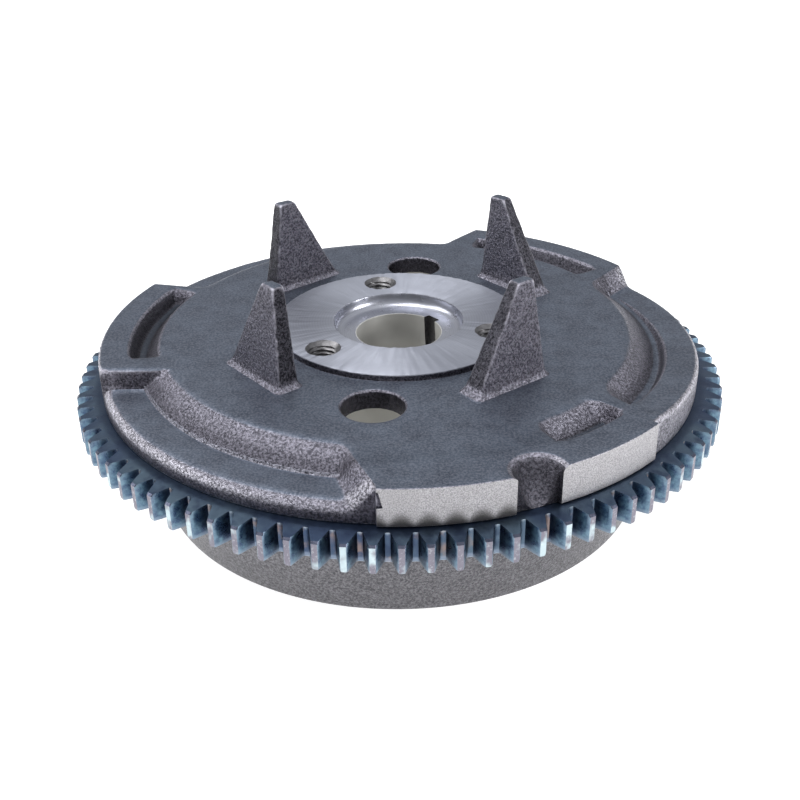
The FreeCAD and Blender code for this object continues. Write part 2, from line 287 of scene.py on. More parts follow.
INNER_SECTION = [
    (SEAT_RADIUS, RING_TOP, 0.2, 2, 2),
    (SEAT_RADIUS, RING_BOTTOM, 0.2, 2, 1),
    (DRUM_TOP_RADIUS, RING_BOTTOM, 0.3, 2, 13),
    (DRUM_BOTTOM_RADIUS, 0.0, 0.7, 4, 4),
    (BELL_RADIUS, 0.0, 0.6, 3, 2),
    (BELL_RADIUS, BELL_SHOULDER, 0.3, 2, 1),
    (BELL_SHOULDER_RADIUS, BELL_SHOULDER, 0.4, 2, 2),
    (BELL_SHOULDER_RADIUS, WEB_UNDER, 2.0, 4, 5),
    (BOSS_RADIUS, WEB_UNDER, 2.0, 4, 2),
    (BOSS_RADIUS, BOSS_END, 0.8, 3, 3),
    (BORE_LARGE_RADIUS, BOSS_END, 0.6, 3, 2),
    (BORE_RADIUS, COUNTERBORE_FLOOR, 0.25, 3, 3),
    (COUNTERBORE_RADIUS, COUNTERBORE_FLOOR, 3.0, 7, 1),
    (COUNTERBORE_RADIUS, HUB_FACE, 0.3, 3, 3),
    (HUB_RADIUS, HUB_FACE, 0.3, 3, 1),
]

# Stations round the rim: azimuth at SLANT_INNER, azimuth at SLANT_OUTER, section. Between stations the
# surface runs straight from one section to the next, so two close stations make an end wall.
SLANT_INNER, SLANT_OUTER = 69.0, 87.0
STATIONS = [
    (-104.2, -97.6, "low"), (-101.6, -94.0, "raised"), (-93.9, -93.9, "raised"), (-93.7, -93.7, "pad"),
    (-72.2, -72.2, "pad"), (-72.0, -72.0, "raised"), (-64.6, -64.6, "raised"), (-64.4, -64.4, "pad"),
    (-60.6, -60.6, "pad"), (-58.6, -58.6, "pad_pocket"), (-45.0, -45.0, "pad_pocket"), (-43.4, -43.4, "pad"),
    (-43.1, -43.1, "pad"), (-42.9, -42.9, "lug"), (-38.4, -41.6, "lug"), (-34.0, -39.4, "groove_start"),
    (23.2, 28.0, "groove_end"), (26.2, 31.2, "raised"), (33.0, 33.0, "raised"), (35.0, 35.0, "recess"),
    (66.0, 66.0, "recess"), (68.5, 68.5, "raised"), (76.5, 71.0, "raised"), (80.5, 74.0, "low"),
    (149.5, 153.0, "low"), (153.0, 156.0, "raised"), (157.0, 157.0, "raised"), (159.0, 159.0, "recess"),
    (193.6, 191.2, "recess"), (195.4, 193.2, "raised"), (202.9, 198.0, "raised"), (203.9, 199.0, "low"),
]
# parts of the recesses given painted shade: from azimuth, to azimuth, up to what height
RECESS_SPANS = ((34.0, 67.5, WEB - 0.6), (158.0, 195.0, WEB - 0.6), (300.5, 315.8, RECESS_FLOOR + 0.6))
RECESS_RADII = (70.2, 79.3)
COLUMN_SPACING = 1.3                                # largest arc between columns at the rim
SOFTENING_PASSES = 3


def section_points(section):
    """Points of the closed section, each corner rounded by a quadratic curve; neighbours share their edge."""
    corners = np.array([corner[:2] for corner in section], float)
    count = len(corners)
    starts, ends = np.zeros((count, 2)), np.zeros((count, 2))
    for i, corner in enumerate(section):
        before, after = corners[i - 1] - corners[i], corners[(i + 1) % count] - corners[i]
        reach = corner[2]
        for edge, neighbour in ((before, section[i - 1]), (after, section[(i + 1) % count])):
            reach = min(reach, 0.95 * np.linalg.norm(edge) * corner[2] / (corner[2] + neighbour[2]))
        starts[i] = corners[i] + before / np.linalg.norm(before) * reach
        ends[i] = corners[i] + after / np.linalg.norm(after) * reach
    points = []
    for i, (_, _, _, rounding, run) in enumerate(section):
        for step in np.linspace(0, 1, rounding):
            rest = 1 - step
            points.append(rest ** 2 * starts[i] + 2 * step * rest * corners[i] + step ** 2 * ends[i])
        following = starts[(i + 1) % count]
        for step in range(1, run + 1):
            points.append(ends[i] + (following - ends[i]) * step / (run + 1))
    return np.array(points)


def casting_grid():
    """The section at every column, as arrays of radius, azimuth and height, and which are on a pad."""
    radius, azimuth, height, crisp = [], [], [], []
    for k, (inner, outer, name) in enumerate(STATIONS):
        inner_next, outer_next, name_next = STATIONS[(k + 1) % len(STATIONS)]
        if k == len(STATIONS) - 1:
            inner_next, outer_next = inner_next + 360, outer_next + 360
        here = section_points(SECTIONS[name] + INNER_SECTION)
        there = section_points(SECTIONS[name_next] + INNER_SECTION)
        widest = max(inner_next - inner, outer_next - outer)
        columns = max(2, math.ceil(math.radians(widest) * RIM_RADIUS / COLUMN_SPACING))
        if widest < 0.5:
            columns = 1
        elif name != name_next and widest < 6:
            columns = 6
        for step in range(columns):
            share = step / columns
            points = here + (there - here) * share
            slant = np.clip((points[:, 0] - SLANT_INNER) / (SLANT_OUTER - SLANT_INNER), -0.15, 1.1)
            from_azimuth = inner + (outer - inner) * slant
            to_azimuth = inner_next + (outer_next - inner_next) * slant
            radius.append(points[:, 0])
            height.append(points[:, 1])
            azimuth.append(from_azimuth + (to_azimuth - from_azimuth) * share)
            crisp.append("pad" in name or "pad" in name_next)
    return np.array(radius).T, np.array(azimuth).T, np.array(height).T, np.array(crisp)


def soften(values, weights):
    """One pass of averaging between neighbouring columns."""
    smooth = 0.5 * values + 0.25 * (np.roll(values, 1, axis=1) + np.roll(values, -1, axis=1))
    return values + (smooth - values) * weights


def make_wheel_blank():
    """The casting without posts and holes. Its top is softened along the rim, but not the pads' edges."""
    radius, azimuth, height, crisp = casting_grid()
    points_to_wall, points_to_rim = (
        sum(corner[3] + corner[4] for corner in SECTIONS["low"][:corners]) for corners in (5, 6))
    weights = np.zeros_like(radius)
    weights[:points_to_wall] = 1.0
    weights[points_to_wall:points_to_rim, ~crisp] = 1.0
    for _ in range(SOFTENING_PASSES):
        radius, height = soften(radius, weights), soften(height, weights)
    points = polar(radius, azimuth, height).reshape(-1, 3)
    rows, columns = radius.shape
    return mesh_object("flywheel_casting_body", points, grid_faces(rows, columns, True, True))


# ---------------------------------------------------------------- posts, holes and notch

POST_AZIMUTHS = (39.5, 131.0, 219.5 - 360.0, 307.0 - 360.0)
# (radial, tangential) limits of a post at the web and at its tip
POST_ROOT = ((45.0, 51.5), (-12.9, 12.2))
POST_TIP = ((45.2, 48.8), (3.0, 8.5))
POST_SHIFTS = (0.0, 0.0, 0.0, -1.0)                 # how far each post stands out from the others' circle
POST_ROOT_Z = 47.0
# height above the web and how far the foot flares out there
POST_FOOT = ((-0.8, 2.2), (-0.1, 1.3), (0.5, 0.7), (1.1, 0.3), (1.9, 0.08))
# distance below the tip and how far the outline has drawn in there
POST_CROWN = ((0.9, 0.0), (0.5, 0.05), (0.2, 0.2), (0.05, 0.45), (0.0, 0.8))
POST_CORNER, POST_CORNER_LOSS = 0.7, 0.15           # corner radius at the web, and how much less at the tip
# the straight part: how far above the web it starts, how far below the tip it ends, levels in it
POST_SHAFT_START, POST_SHAFT_END, POST_SHAFT_LEVELS = 3.6, 2.6, 26
CORNER_POINTS, SIDE_POINTS = 4, (9, 4)
WEB_HOLE_LIP = 0.9
CUTTER_CLEARANCE = 1.5                              # how far a cutter reaches past the surface it cuts


def rounded_outline(x_limits, y_limits, corner, grow):
    """A rounded rectangle's points, counter-clockwise, grown outward."""
    low_x, high_x = x_limits[0] - grow, x_limits[1] + grow
    low_y, high_y = y_limits[0] - grow, y_limits[1] + grow
    corner = min(corner + max(grow, 0), (high_x - low_x) * 0.49, (high_y - low_y) * 0.49)
    centres = ((high_x - corner, high_y - corner, 0), (low_x + corner, high_y - corner, 90),
               (low_x + corner, low_y + corner, 180), (high_x - corner, low_y + corner, 270))
    points = []
    for i, (x, y, start) in enumerate(centres):
        for step in range(CORNER_POINTS + 1):
            angle = math.radians(start + 90 * step / CORNER_POINTS)
            points.append((x + corner * math.cos(angle), y + corner * math.sin(angle)))
        last, following = points[-1], centres[(i + 1) % 4]
        angle = math.radians(following[2])
        goal = (following[0] + corner * math.cos(angle), following[1] + corner * math.sin(angle))
        runs = SIDE_POINTS[1] if i % 2 == 0 else SIDE_POINTS[0]
        for step in range(1, runs):
            share = step / runs
            points.append((last[0] + (goal[0] - last[0]) * share, last[1] + (goal[1] - last[1]) * share))
    return np.array(points)


def post_ring(z, grow):
    share = (z - POST_ROOT_Z) / (POST_TIP_Z - POST_ROOT_Z)
    limits = [tuple(a + (b - a) * share for a, b in zip(*ends)) for ends in zip(POST_ROOT, POST_TIP)]
    outline = rounded_outline(limits[0], limits[1], POST_CORNER - POST_CORNER_LOSS * share, grow)
    return np.column_stack([outline, np.full(len(outline), z)])


def make_post(number, azimuth, shift):
    levels = [(WEB + up, grow) for up, grow in POST_FOOT]
    shaft = np.linspace(WEB + POST_SHAFT_START, POST_TIP_Z - POST_SHAFT_END, POST_SHAFT_LEVELS)
    levels += [(z, 0.0) for z in shaft]
    levels += [(POST_TIP_Z - down, -draw) for down, draw in POST_CROWN]
    turn = np.array(Matrix.Rotation(math.radians(azimuth), 3, "Z"))
    rings = [(post_ring(z, grow) + (shift, 0, 0)) @ turn.T for z, grow in levels]
    return stacked_rings("post_%d" % number, rings)


def lipped_cutter(name, centre, radius, bottom, top, lip):
    """A round cutter that widens near `top`, so that the cut's mouth is rounded."""
    rings = [circle_ring(radius, bottom, centre)]
    for angle in np.radians(np.linspace(0, 80, 8)):
        widened = radius + lip * (1 - math.cos(angle))
        rings.append(circle_ring(widened, top - lip + lip * math.sin(angle), centre))
    mouth = radius + lip + CUTTER_CLEARANCE
    rings.append(circle_ring(mouth, top + 0.15 * lip, centre))
    rings.append(circle_ring(mouth, top + CUTTER_CLEARANCE + 2, centre))
    return stacked_rings(name, rings)


# height, centre's distance from the axis and radius of the notch's scoop
NOTCH_RINGS = (
    (RING_TOP - 0.3, 90.2, 2.4),
    (RING_TOP + 1.5, 89.4, 3.4),
    (WEB - 5.0, 88.2, 4.9),
    (WEB - 1.8, NOTCH_CENTRE_RADIUS, NOTCH_RADIUS),
    (WEB - 0.7, NOTCH_CENTRE_RADIUS, NOTCH_RADIUS + 0.5),
    (WEB - 0.1, NOTCH_CENTRE_RADIUS, NOTCH_RADIUS + 1.5),
    (WEB + 0.3, NOTCH_CENTRE_RADIUS, NOTCH_RADIUS + 3.0),
    (WEB + 3.0, NOTCH_CENTRE_RADIUS, NOTCH_RADIUS + 3.0),
)


def make_notch_cutter():
    rings = [circle_ring(radius, z, on_circle(distance, NOTCH_AZIMUTH))
             for z, distance, radius in NOTCH_RINGS]
    return stacked_rings("notch_cutter", rings)


# A shallow unground bite in the pads' left end, as (distance round the rim, z) from the bite's lower corner.
PATCH_AZIMUTH, PATCH_Z, PATCH_DEPTH = -93.7, 42.6, 0.32
PATCH_OUTLINE = ((-0.8, -0.2), (1.5, 0.1), (1.25, 0.9), (0.95, 2.2), (0.7, 3.4), (0.45, 4.3), (-0.8, 4.5))


def make_patch_cutter():
    depths = (PAD_RADIUS - PATCH_DEPTH, PAD_RADIUS + 2.0)
    turn = math.radians(PATCH_AZIMUTH)
    out, along = np.array([math.cos(turn), math.sin(turn)]), np.array([-math.sin(turn), math.cos(turn)])
    rings = []
    for depth in depths:
        rings.append(np.array([(*(out * depth + along * x), PATCH_Z + z) for x, z in PATCH_OUTLINE]))
    return stacked_rings("patch_cutter", rings)


THREAD_PITCH = 1.25
THREAD_MINOR, THREAD_MAJOR = 3.4, 4.05
MOUTH_DEPTH = 1.7
THREAD_SEGMENTS, LEVELS_PER_TURN = 32, 6


def make_tap(number, azimuth):
    """A cutter with the form of a thread and a countersunk mouth."""
    centre = on_circle(TAPPED_CIRCLE_RADIUS, azimuth)
    angle = np.linspace(0, 2 * math.pi, THREAD_SEGMENTS, endpoint=False)
    rings = []
    for z in np.arange(WEB_UNDER - 1.0, HUB_FACE + 0.3, THREAD_PITCH / LEVELS_PER_TURN):
        turn = ((z / THREAD_PITCH - angle / (2 * math.pi)) % 1.0)
        thread = THREAD_MINOR + (THREAD_MAJOR - THREAD_MINOR) * np.clip(1.3 - 2.6 * np.abs(turn - 0.5), 0, 1)
        mouth = THREAD_MINOR + MOUTH_DEPTH - (HUB_FACE - z)
        rings.append(circle_ring(np.maximum(thread, mouth), z, centre, THREAD_SEGMENTS))
    return stacked_rings("tap_%d" % number, rings)


def make_key_cutter():
    """A box through the bore's wall for the crankshaft key."""
    half = KEY_WIDTH / 2
    corners = [(KEY_START, -half), (KEY_REACH, -half), (KEY_REACH, half), (KEY_START, half)]
    turn = math.radians(KEY_AZIMUTH)
    outline = np.array([(x * math.cos(turn) - y * math.sin(turn), x * math.sin(turn) + y * math.cos(turn))
                        for x, y in corners])
    rings = [np.column_stack([outline, np.full(4, z)]) for z in (BOSS_END - 1, COUNTERBORE_FLOOR + 1)]
    return stacked_rings("key_cutter", rings)


# The casting's materials, in the order make_casting is given them. THREAD also covers the keyway, and the
# recess material, painted darker as shade, covers the notch and the web holes' walls too.
CAST, HUB, COUNTERBORE, BORE, PAD, THREAD, BORED, SHADED_RECESS = range(8)


def casting_finish(centres, normals):
    """Material index of each face of the casting."""
    radius = np.hypot(centres[:, 0], centres[:, 1])
    z = centres[:, 2]
    index = np.full(len(centres), CAST)
    index[(radius < HUB_RADIUS + 0.05) & (z > HUB_FACE - 0.4)] = HUB
    index[(radius < COUNTERBORE_RADIUS + 0.25) & (z > COUNTERBORE_FLOOR - 0.3)] = COUNTERBORE
    index[(radius < BORE_LARGE_RADIUS + 1.0) & (z < COUNTERBORE_FLOOR - 0.01)] = BORE
    index[(radius > PAD_RADIUS - 0.2) & (z > PAD_BOTTOM - 0.1) & (np.abs(normals[:, 2]) < 0.5)] = PAD
    index[(radius < BELL_RADIUS + 0.3) & (radius > BORE_LARGE_RADIUS) & (z < WEB_UNDER + 0.1)] = BORED
    index[z < 0.05] = BORED
    azimuth = np.degrees(np.arctan2(centres[:, 1], centres[:, 0])) % 360
    for start, end, top in RECESS_SPANS:
        within = (azimuth > start) & (azimuth < end) & (radius > RECESS_RADII[0]) & (radius < RECESS_RADII[1])
        index[within & (z > LEDGE) & (z < top)] = SHADED_RECESS
    x, y = on_circle(NOTCH_CENTRE_RADIUS, NOTCH_AZIMUTH)
    in_notch = np.hypot(centres[:, 0] - x, centres[:, 1] - y) < NOTCH_RADIUS + 0.4
    index[in_notch & (z > RING_TOP - 0.5) & (z < WEB - 0.9)] = SHADED_RECESS
    for web_hole, distance in WEB_HOLES:
        x, y = on_circle(distance, web_hole)
        from_axis = np.hypot(centres[:, 0] - x, centres[:, 1] - y)
        index[(from_axis < WEB_HOLE_RADIUS + 0.3) & (z > WEB_UNDER - 4.0) & (z < WEB - 0.7)] = SHADED_RECESS
    turn = math.radians(KEY_AZIMUTH)
    out = centres[:, 0] * math.cos(turn) + centres[:, 1] * math.sin(turn)
    across = centres[:, 1] * math.cos(turn) - centres[:, 0] * math.sin(turn)
    in_key = (out > BORE_RADIUS - 0.2) & (out < KEY_REACH + 0.1) & (np.abs(across) < KEY_WIDTH / 2 + 0.05)
    index[in_key & (radius < KEY_REACH + 0.3) & (z < COUNTERBORE_FLOOR - 0.3)] = THREAD
    for tapped in TAPPED_AZIMUTHS:
        x, y = on_circle(TAPPED_CIRCLE_RADIUS, tapped)
        from_axis = np.hypot(centres[:, 0] - x, centres[:, 1] - y)
        in_hole = from_axis < THREAD_MINOR + MOUTH_DEPTH + 0.1
        index[in_hole & (z > WEB_UNDER) & (normals[:, 2] < 0.95)] = THREAD
    return index


CAST_DEPTH, CAST_SIZE = 0.08, 1.7                    # amplitude and size of the casting's lumps
LEVEL_SHARE, RIM_SHARE, POST_SHARE = 0.12, 0.5, 1.9
POST_SHARE_FROM = WEB + 1.5
CASTING_CREASE, RING_CREASE = 38.0, 32.0            # degrees; sharper edges than this stay sharp
LEVEL_NORMAL = 0.9995                               # a face whose normal's z is at least this is level


def cast_share(points):
    """How much each point of the casting moves: most above POST_SHARE_FROM; below it machined faces stay.

    The hub's face is meant to be machined too, but it lies above that height, so it moves like the posts.
    """
    radius = np.hypot(points[:, 0], points[:, 1])
    z = points[:, 2]
    outside = (radius > HUB_RADIUS + 1.2) & (z > RING_TOP + 0.4) & (radius < PAD_RADIUS - 0.35)
    drum = (radius > DRUM_BOTTOM_RADIUS - 0.5) & (z < RING_BOTTOM - 0.6) & (z > 0.9)
    ceiling = (z < WEB_UNDER + 0.5) & (z > WEB_UNDER - 0.5)
    under = (radius < BELL_SHOULDER_RADIUS - 1) & (radius > BOSS_RADIUS + 1) & ceiling
    share = (outside | drum | under).astype(float)
    level = outside & (np.minimum(np.abs(z - WEB), np.abs(z - LEDGE)) < 0.25)
    share[level] *= LEVEL_SHARE
    share[outside & (radius > RIM_RADIUS - 1.5)] *= RIM_SHARE
    share[z > POST_SHARE_FROM] = POST_SHARE
    return share


def make_casting(materials):
    casting = make_wheel_blank()
    posts = [make_post(i, *place) for i, place in enumerate(zip(POST_AZIMUTHS, POST_SHIFTS), start=1)]
    combine(casting, posts, "UNION")
    cutters = []
    for i, (azimuth, distance) in enumerate(WEB_HOLES):
        centre = on_circle(distance, azimuth)
        cutters.append(lipped_cutter(
            "web_hole_%d" % i, centre, WEB_HOLE_RADIUS, WEB_UNDER - 3, WEB, WEB_HOLE_LIP))
    cutters += [make_notch_cutter(), make_patch_cutter()]
    cutters += [make_tap(i, azimuth) for i, azimuth in enumerate(TAPPED_AZIMUTHS)]
    cutters.append(make_key_cutter())
    combine(casting, cutters, "DIFFERENCE")
    casting.name = casting.data.name = "casting_surface"
    roughen(casting, CAST_DEPTH, CAST_SIZE, cast_share)
    casting.data.materials.clear()
    for material in materials:
        casting.data.materials.append(material)
    assign_finish(casting.data, casting_finish)
    # those faces of the hub's top that are still level are shaded flat, everything else smoothly
    smooth = [p.material_index != HUB or p.normal.z < LEVEL_NORMAL for p in casting.data.polygons]
    casting.data.polygons.foreach_set("use_smooth", smooth)
    casting.data.set_sharp_from_angle(angle=math.radians(CASTING_CREASE))
    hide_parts("flywheel_casting")
    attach(casting, "root")


# ---------------------------------------------------------------- ring gear

# One tooth, from the middle of a gap to the middle of the tooth: (radius, half gap width there)
GAP = ((90.6, 0.0), (90.62, 0.4), (90.72, 0.66), (91.05, 0.9), (91.7, 1.13), (92.4, 1.4), (93.13, 1.66),
       (94.2, 2.08), (95.05, 2.44))
TIP_BREAK = 0.2
TOOTH_LEAD = 1.2                                    # how far the tip's land stops short of the ring's top
LEAD_BEVEL = 0.55                                   # steep part of the lead; the rest slopes up to the root
ROOT_RADIUS = GAP[0][0]

# the ring's materials, in the order make_ring_gear is given them
FACE, FLANK, TIP, BEVEL = range(4)


def tooth_outline(widened=0.0):
    """Radius and azimuth in degrees, from one gap's middle to the next, with the gap widened all round."""
    half_pitch = 180.0 / TEETH
    gap = [(r - widened * (r < ROOT_RADIUS + 1), w + widened * min(1.0, w / GAP[3][1])) for r, w in GAP]
    radius = [r for r, _ in gap] + [TIP_RADIUS]
    angle = [math.degrees(math.atan2(w, r)) for r, w in gap]
    angle.append(angle[-1] + math.degrees(TIP_BREAK / TIP_RADIUS))
    radius, angle = np.array(radius), np.array(angle)
    return (np.concatenate([radius, [TIP_RADIUS], radius[::-1][:-1]]),
            np.concatenate([angle, [half_pitch], (2 * half_pitch - angle)[::-1][:-1]]))


def make_ring_gear(materials):
    """The starter ring: teeth with broken edges and a lead on their starter side."""
    levels = (                                      # (z, gap widened, how far the tips are drawn in)
        (RING_BOTTOM, 0.2, 0.16), (RING_BOTTOM + 0.35, 0.07, 0.04), (RING_BOTTOM + 0.9, 0.0, 0.0),
        (RING_BOTTOM + 3.0, 0.0, 0.0), (RING_BOTTOM + 5.2, 0.0, 0.0), (RING_TOP - TOOTH_LEAD, 0.0, 0.0),
        (RING_TOP, 0.0, LEAD_BEVEL),
    )
    rings = []
    for z, widened, drawn in levels:
        one_radius, one_angle = tooth_outline(widened)
        radius = np.tile(one_radius, TEETH)
        azimuth = np.concatenate([one_angle + (360.0 * i + 180.0) / TEETH for i in range(TEETH)])
        depth = np.clip((radius - ROOT_RADIUS) / (TIP_RADIUS - ROOT_RADIUS), 0, 1)
        sunk = (TOOTH_LEAD - LEAD_BEVEL) * depth if z == RING_TOP else 0.0
        rings.append(polar(radius - drawn * depth, azimuth, z - sunk))
    count = len(radius)
    inner_rows = (                                  # (radius, z) from the top's outer part down the seat
        (ROOT_RADIUS - 0.4, RING_TOP), (ROOT_RADIUS - 0.8, RING_TOP), (SEAT_RADIUS + 0.3, RING_TOP),
        (SEAT_RADIUS, RING_TOP - 0.3), (SEAT_RADIUS, RING_BOTTOM + 0.3), (SEAT_RADIUS + 0.3, RING_BOTTOM),
    )
    for r, z in inner_rows:
        rings.append(polar(np.full(count, r), azimuth, z))
    faces = grid_faces(len(rings), count, True, True)

    def finish(centres, normals):
        """Material index of each face of the ring."""
        reach = np.hypot(centres[:, 0], centres[:, 1])
        outward = (normals[:, 0] * centres[:, 0] + normals[:, 1] * centres[:, 1]) / reach
        index = np.full(len(centres), FACE)
        index[(np.abs(normals[:, 2]) < 0.6) & (reach > ROOT_RADIUS + 0.12)] = FLANK
        index[(outward > 0.9) & (reach > TIP_RADIUS - 0.3)] = TIP
        index[(outward > 0.4) & (normals[:, 2] > 0.3) & (reach > TIP_RADIUS - LEAD_BEVEL)] = BEVEL
        return index

    ring = mesh_object("starter_ring", np.concatenate(rings), faces, materials, finish)
    ring.data.set_sharp_from_angle(angle=math.radians(RING_CREASE))
    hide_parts("ring_gear")
    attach(ring, "root")


# ---------------------------------------------------------------- materials

class Nodes:
    """A material's node tree, built with short calls."""

    def __init__(self, name):
        self.material = bpy.data.materials.new(name)
        self.material.use_nodes = True
        self.tree = self.material.node_tree
        self.shader = self.tree.nodes["Principled BSDF"]
        self.place = self.node("ShaderNodeTexCoord").outputs["Object"]
        self.normal = self.node("ShaderNodeNewGeometry").outputs["Normal"]

    def node(self, kind, **settings):
        made = self.tree.nodes.new(kind)
        for key, value in settings.items():
            setattr(made, key, value)
        return made

    def feed(self, socket, value):
        if isinstance(value, bpy.types.NodeSocket):
            self.tree.links.new(value, socket)
        else:
            socket.default_value = value

    def noise(self, size, detail=3.0, roughness=0.55):
        """Noise whose features are about `size` millimetres."""
        made = self.node("ShaderNodeTexNoise")
        self.feed(made.inputs["Vector"], self.place)
        made.inputs["Scale"].default_value = 1.0 / (size * MM)
        made.inputs["Detail"].default_value = detail
        made.inputs["Roughness"].default_value = roughness
        return made.outputs["Fac"]

    def math(self, operation, *values):
        made = self.node("ShaderNodeMath", operation=operation)
        for socket, value in zip(made.inputs, values):
            self.feed(socket, value)
        return made.outputs[0]

    def span(self, value, low, high, to_low=0.0, to_high=1.0):
        """Maps low..high to to_low..to_high, smoothly and clamped."""
        made = self.node("ShaderNodeMapRange", interpolation_type="SMOOTHSTEP")
        for socket, amount in zip(made.inputs, (value, low, high, to_low, to_high)):
            self.feed(socket, amount)
        return made.outputs[0]

    def mix(self, share, first, second):
        made = self.node("ShaderNodeMix", data_type="RGBA")
        self.feed(made.inputs[0], share)
        self.feed(made.inputs[6], first)
        self.feed(made.inputs[7], second)
        return made.outputs[2]

    def axes(self, vector):
        made = self.node("ShaderNodeSeparateXYZ")
        self.feed(made.inputs[0], vector)
        return made.outputs

    def radius(self):
        """Distance from the wheel's axis, in millimetres."""
        x, y, _ = self.axes(self.place)
        square = self.math("ADD", self.math("MULTIPLY", x, x), self.math("MULTIPLY", y, y))
        return self.math("DIVIDE", self.math("SQRT", square), MM)

    def edges(self):
        """1 on sharp outer edges, 0 elsewhere."""
        pointiness = self.node("ShaderNodeNewGeometry").outputs["Pointiness"]
        return self.span(pointiness, 0.512, 0.57)

    def bump(self, height, depth, strength=1.0, below=None):
        """Bump of `depth` millimetres for a height of 0 to 1."""
        made = self.node("ShaderNodeBump")
        self.feed(made.inputs["Height"], height)
        self.feed(made.inputs["Strength"], strength)
        made.inputs["Distance"].default_value = depth * MM
        if below is not None:
            self.feed(made.inputs["Normal"], below)
        return made.outputs["Normal"]

    def finish(self, colour, roughness, metallic, normal):
        self.feed(self.shader.inputs["Base Color"], colour)
        self.feed(self.shader.inputs["Roughness"], roughness)
        self.feed(self.shader.inputs["Metallic"], metallic)
        self.feed(self.shader.inputs["Normal"], normal)
        return self.material


def grey(red, green, blue):
    """A colour given as 0 to 255 screen values."""
    linear = [((v / 255 + 0.055) / 1.055) ** 2.4 if v > 10 else v / 3294.6 for v in (red, green, blue)]
    return (*linear, 1.0)


RIM_BAND = (83.0, 85.0)                             # radii over which the rim's painted side-lit tones and its lower wall threshold come in


